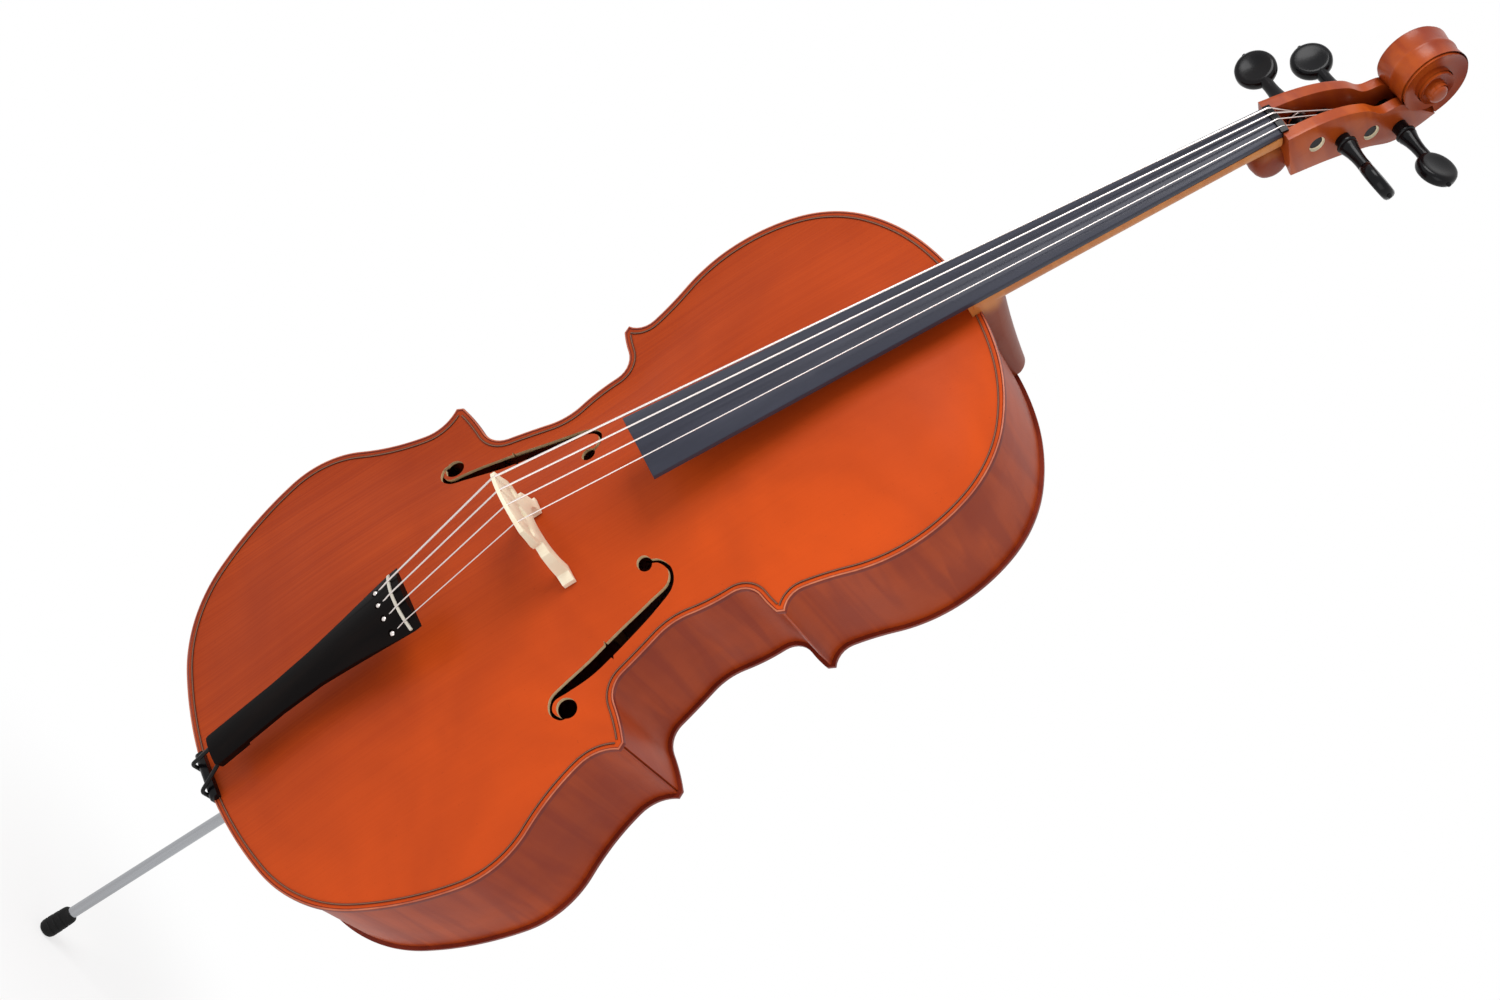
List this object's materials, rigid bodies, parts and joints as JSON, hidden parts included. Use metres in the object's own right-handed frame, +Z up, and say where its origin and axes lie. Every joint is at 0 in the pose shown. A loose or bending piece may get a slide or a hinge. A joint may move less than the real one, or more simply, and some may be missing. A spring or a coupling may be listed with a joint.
{
  "type": "cello",
  "caption": "Full-size cello with arched body, f-holes, scrolled head, turning tuning pegs, strings, bridge, tailpiece and a sliding endpin.",
  "frame": {"origin": "foot of the endpin's rubber tip, on the instrument's long axis", "axes": "+Z up the instrument towards the scroll, -Y the way the front faces, +X the treble side, where the A string lies"},
  "size_m": [0.4398, 0.263, 1.423],
  "materials": {
    "top_varnish": "gloss varnish",
    "maple_varnish": "gloss varnish",
    "bare_spruce": "bare",
    "bare_maple": "bare",
    "ebony": "polished",
    "purfling": "varnished",
    "string_metal": "wound metal",
    "steel": "polished",
    "rubber": "matte",
    "black_nylon": "matte",
    "bone": "polished"
  },
  "bodies": {
    "instrument": {"top_plate": "top_varnish", "back_plate": "maple_varnish", "purfling_top": "purfling", "purfling_back": "purfling", "end_block": "bare_spruce", "neck_block": "bare_spruce", "corner_blocks": "bare_spruce", "linings_top": "bare_spruce", "linings_back": "bare_spruce", "bass_bar": "bare_spruce", "sound_post": "bare_spruce", "neck_and_scroll": "maple_varnish", "fingerboard": "ebony", "nut": "ebony", "bridge": "bare_maple", "saddle": "ebony", "tailpiece": "ebony", "tailpiece_fret": "bone", "tail_gut": "black_nylon", "endpin_collar": "ebony", "rib_lower_treble": "maple_varnish", "rib_lower_bass": "maple_varnish", "rib_c_treble": "maple_varnish", "rib_c_bass": "maple_varnish", "rib_upper_treble": "maple_varnish", "rib_upper_bass": "maple_varnish", "string_c": "string_metal", "string_g": "string_metal", "string_d": "string_metal", "string_a": "string_metal"},
    "endpin": {"endpin_rod": "steel", "endpin_tip": "rubber"},
    "clamp_screw": {"thumb_screw": "steel"},
    "tuner_c": {"peg_c": "ebony", "winding_c": "string_metal"},
    "tuner_a": {"peg_a": "ebony", "winding_a": "string_metal"},
    "tuner_g": {"peg_g": "ebony", "winding_g": "string_metal"},
    "tuner_d": {"peg_d": "ebony", "winding_d": "string_metal"}
  },
  "joints": [
    {"name": "peg_c_turn", "type": "hinge", "parent": "instrument", "child": "tuner_c", "pos_m": [0, -0.006, 1.279], "axis": [-1, 0, 0], "continuous": true},
    {"name": "peg_a_turn", "type": "hinge", "parent": "instrument", "child": "tuner_a", "pos_m": [0, 0.01, 1.301], "axis": [1, 0, 0], "continuous": true},
    {"name": "peg_g_turn", "type": "hinge", "parent": "instrument", "child": "tuner_g", "pos_m": [0, 0.028, 1.327], "axis": [-1, 0, 0], "continuous": true},
    {"name": "peg_d_turn", "type": "hinge", "parent": "instrument", "child": "tuner_d", "pos_m": [0, 0.045, 1.352], "axis": [1, 0, 0], "continuous": true},
    {"name": "endpin_slide", "type": "slide", "parent": "instrument", "child": "endpin", "axis": [0, 0, 1], "range_m": [-0.19, 0.165]},
    {"name": "clamp_screw_turn", "type": "hinge", "parent": "instrument", "child": "clamp_screw", "pos_m": [0.02, 0, 0.206], "axis": [1, 0, 0], "range_deg": [0, 360]}
  ]
}
